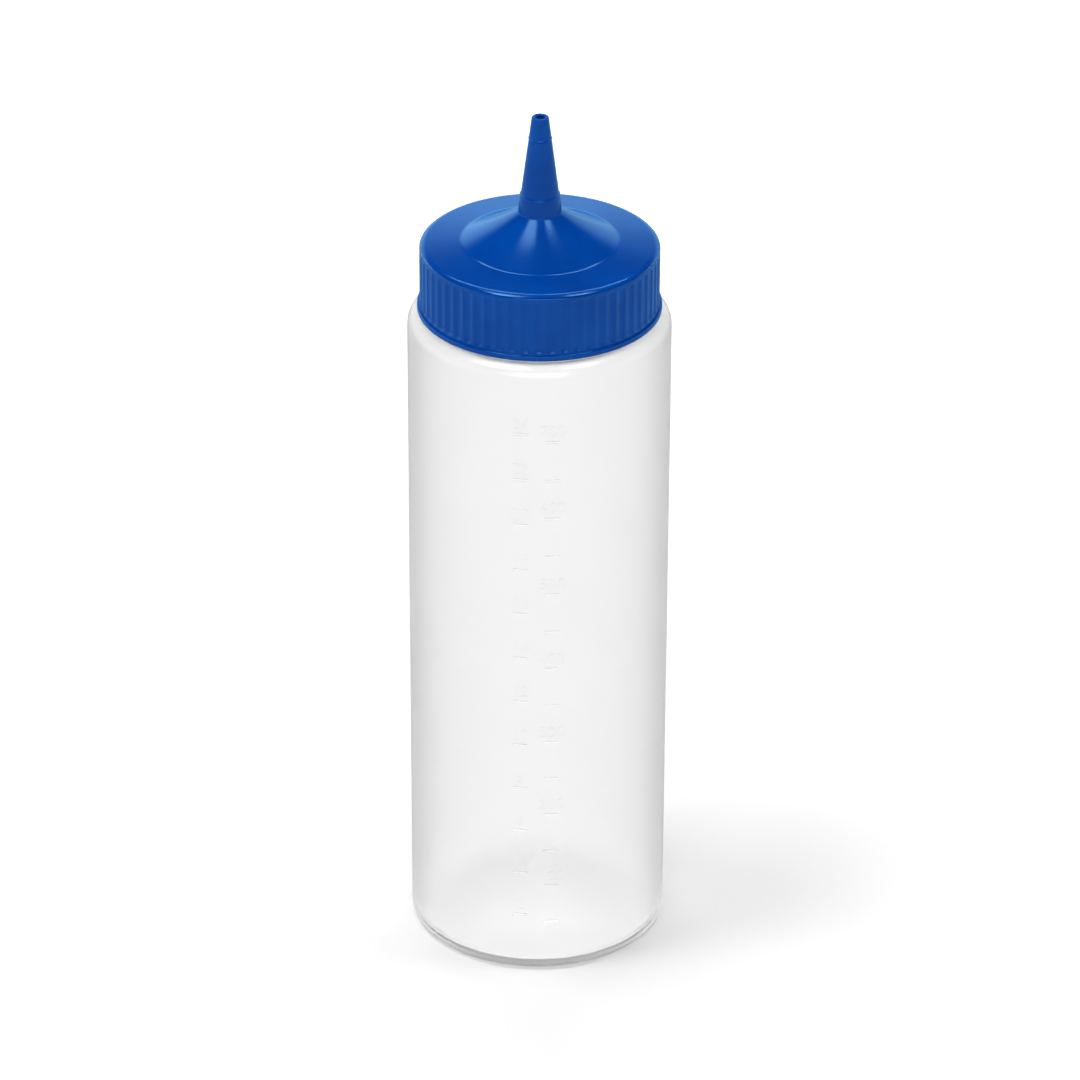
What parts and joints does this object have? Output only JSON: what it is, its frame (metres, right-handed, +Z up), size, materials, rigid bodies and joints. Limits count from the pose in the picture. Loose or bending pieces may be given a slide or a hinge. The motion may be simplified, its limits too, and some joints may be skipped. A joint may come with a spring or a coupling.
{
  "type": "squeeze bottle with screw cap nozzle",
  "caption": "Tall round squeeze bottle for sauce, with raised scales on the wall and a wide ribbed screw cap that rises to an open cone nozzle.",
  "frame": {"origin": "middle of the base, on the surface that the bottle stands on", "axes": "+Z up along the bottle's axis to the nozzle, -Y to the front, where the scales are"},
  "size_m": [0.075, 0.0752, 0.2585],
  "materials": {
    "bottle_polyethylene": "translucent natural low-density polyethylene, satin from the blow mould",
    "ring_silicone": "smooth off-white silicone",
    "cap_polyethylene": "glossy moulded blue polyethylene"
  },
  "bodies": {
    "bottle": {"bottle": "bottle_polyethylene"},
    "sealing_ring": {"sealing_ring": "ring_silicone"},
    "screw_cap": {"screw_cap": "cap_polyethylene"}
  },
  "joints": [
    {"name": "cap_rise", "type": "slide", "parent": "bottle", "child": "sealing_ring", "axis": [0, 0, 1], "range_m": [0, 0.0181]},
    {"name": "cap_turn", "type": "hinge", "parent": "sealing_ring", "child": "screw_cap", "pos_m": [0, 0, 0.2], "axis": [0, 0, 1], "range_deg": [0, 1296]}
  ],
  "couplings": [
    {"joint": "cap_rise", "follows": "cap_turn", "m_per_rad": 0.00079577}
  ]
}
